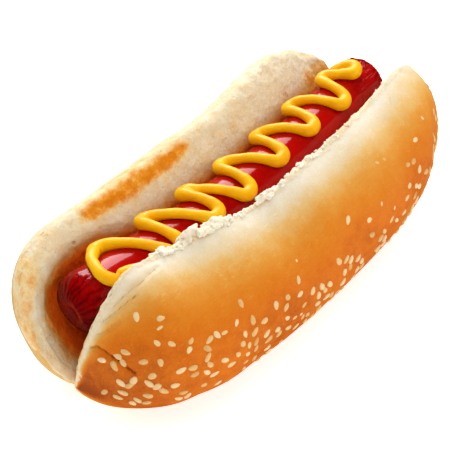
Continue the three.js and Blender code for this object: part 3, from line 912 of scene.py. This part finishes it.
def makeMustard(material):
    rounded = []
    for x, degrees, radius in mustard["turns"]:   # each turn is an arc on the unrolled skin
        for angle in mustard["turnAngles"]:
            dip = radius * (1 - cos(radians(angle))) / mustardDegree
            rounded.append((x + radius * sin(radians(angle)), degrees - dip * (1 if degrees > 0 else -1)))
    whole = [*mustard["start"], *rounded, *mustard["end"]]
    beads = [mustardBead("zigzag", whole, mustard["steps"]),
             mustardBead("tail", mustard["tail"], mustard["tailSteps"])]
    piece = joinAll(beads, "mustard")
    meltTogether(piece, mustard["voxel"], mustard["rounds"])
    dress(piece, material, "sausage")
    print("mustard:", len(piece.data.polygons), "faces")


breadLook = breadMaterial()
lip = makeSeededHalf(breadLook)
makePlainHalf(breadLook)
makeHingeCrumb(breadLook)
makeSeeds(seedMaterial())
makeLipCrumbs(breadLook, *lip)
makeSausage(sausageMaterial())
makeMustard(mustardMaterial())


studio = {
    "azimuth": -50.298, "elevation": 43.492, "distance": 367, "lens": 92, "sensor": 36,
    "target": (0, 4.1, 29.2), "aside": -7.576, "raise": -9.763,   # the object sits a little off the middle
    "floorSize": 6, "floorDrop": 0.0002, "floorGlow": 0.6, "worldShade": 0.95, "worldStrength": 0.22,
    # soft boxes that face the hot dog: (name, way to it, metres away, size, watts)
    "boxes": [
        ("backBox", (0.5, 0.6, 0.56), 0.9, (0.8, 0.6), 8.4),
        ("shineBox", (0.5, 0.62, 0.54), 0.9, (0.7, 0.6), 17),
        ("topBox", (0, 0, 1), 1, (0.8, 0.8), 4.4),
        ("rightBox", (0.7, -0.7, 0.5), 1.1, (0.9, 0.9), 2.8),
        ("leftBox", (-0.75, 0.45, 0.75), 1, (0.8, 0.8), 0.8),
        ("frontBox", (-0.4, -0.85, 0.5), 1.2, (1.2, 1.2), 4.6),
    ],
    "shining": "shineBox",   # the box that only makes the highlights, and no other box makes any
    "aimHeight": 0.03,
}


def makeFloor():
    deselectAll()
    bpy.ops.mesh.primitive_plane_add(size=studio["floorSize"], location=(0, 0, -studio["floorDrop"]))
    floor = bpy.context.object
    floor.name = "floor"
    glow = {"Roughness": 0.9, "Specular IOR Level": 0.1, "Emission Color": (1, 1, 1, 1),
            "Emission Strength": studio["floorGlow"]}
    material, tree, shader, coords = newMaterial("paleFloor", glow)
    shade = ramp(tree, cloud(tree, coords, 3), [(0.3, (250, 250, 250)), (0.7, (253, 253, 253))])
    join(tree, shade, shader.inputs["Base Color"])
    floor.data.materials.append(material)
    floor.visible_glossy = False


def softbox(name, way, away, size, power):
    lamp = bpy.data.lights.new(name, "AREA")
    lamp.shape = "RECTANGLE"
    lamp.size, lamp.size_y = size
    lamp.energy = power
    holder = bpy.data.objects.new(name, lamp)
    bpy.context.collection.objects.link(holder)
    way = Vector(way).normalized()
    holder.location = way * away + Vector((0, 0, studio["aimHeight"]))
    holder.visible_glossy = name == studio["shining"]
    holder.visible_diffuse = name != studio["shining"]
    holder.rotation_euler = (-way).to_track_quat("-Z", "Y").to_euler()


def makeLight():
    world = bpy.data.worlds.new("paleRoom")
    bpy.context.scene.world = world
    world.use_nodes = True
    back = world.node_tree.nodes["Background"]
    back.inputs["Color"].default_value = (studio["worldShade"],) * 3 + (1,)
    back.inputs["Strength"].default_value = studio["worldStrength"]
    world.cycles_visibility.glossy = False
    for box in studio["boxes"]:
        softbox(*box)


def makeCamera():
    a, e = radians(studio["azimuth"]), radians(studio["elevation"])
    right = Vector((cos(a), sin(a), 0))
    up = Vector((-sin(e) * sin(a), sin(e) * cos(a), cos(e)))
    back = Vector((sin(a) * cos(e), -cos(a) * cos(e), sin(e)))
    target = Vector(studio["target"]) + studio["aside"] * right + studio["raise"] * up
    lens = bpy.data.cameras.new("camera")
    lens.lens = studio["lens"]
    lens.sensor_width = studio["sensor"]
    lens.clip_start = 0.01
    camera = bpy.data.objects.new("camera", lens)
    bpy.context.collection.objects.link(camera)
    camera.location = (target + studio["distance"] * back) * mm
    camera.rotation_euler = (-back).to_track_quat("-Z", "Y").to_euler()
    bpy.context.scene.camera = camera


makeFloor()
makeLight()
makeCamera()
bpy.context.scene.view_settings.view_transform = "Standard"
print("studio ready")
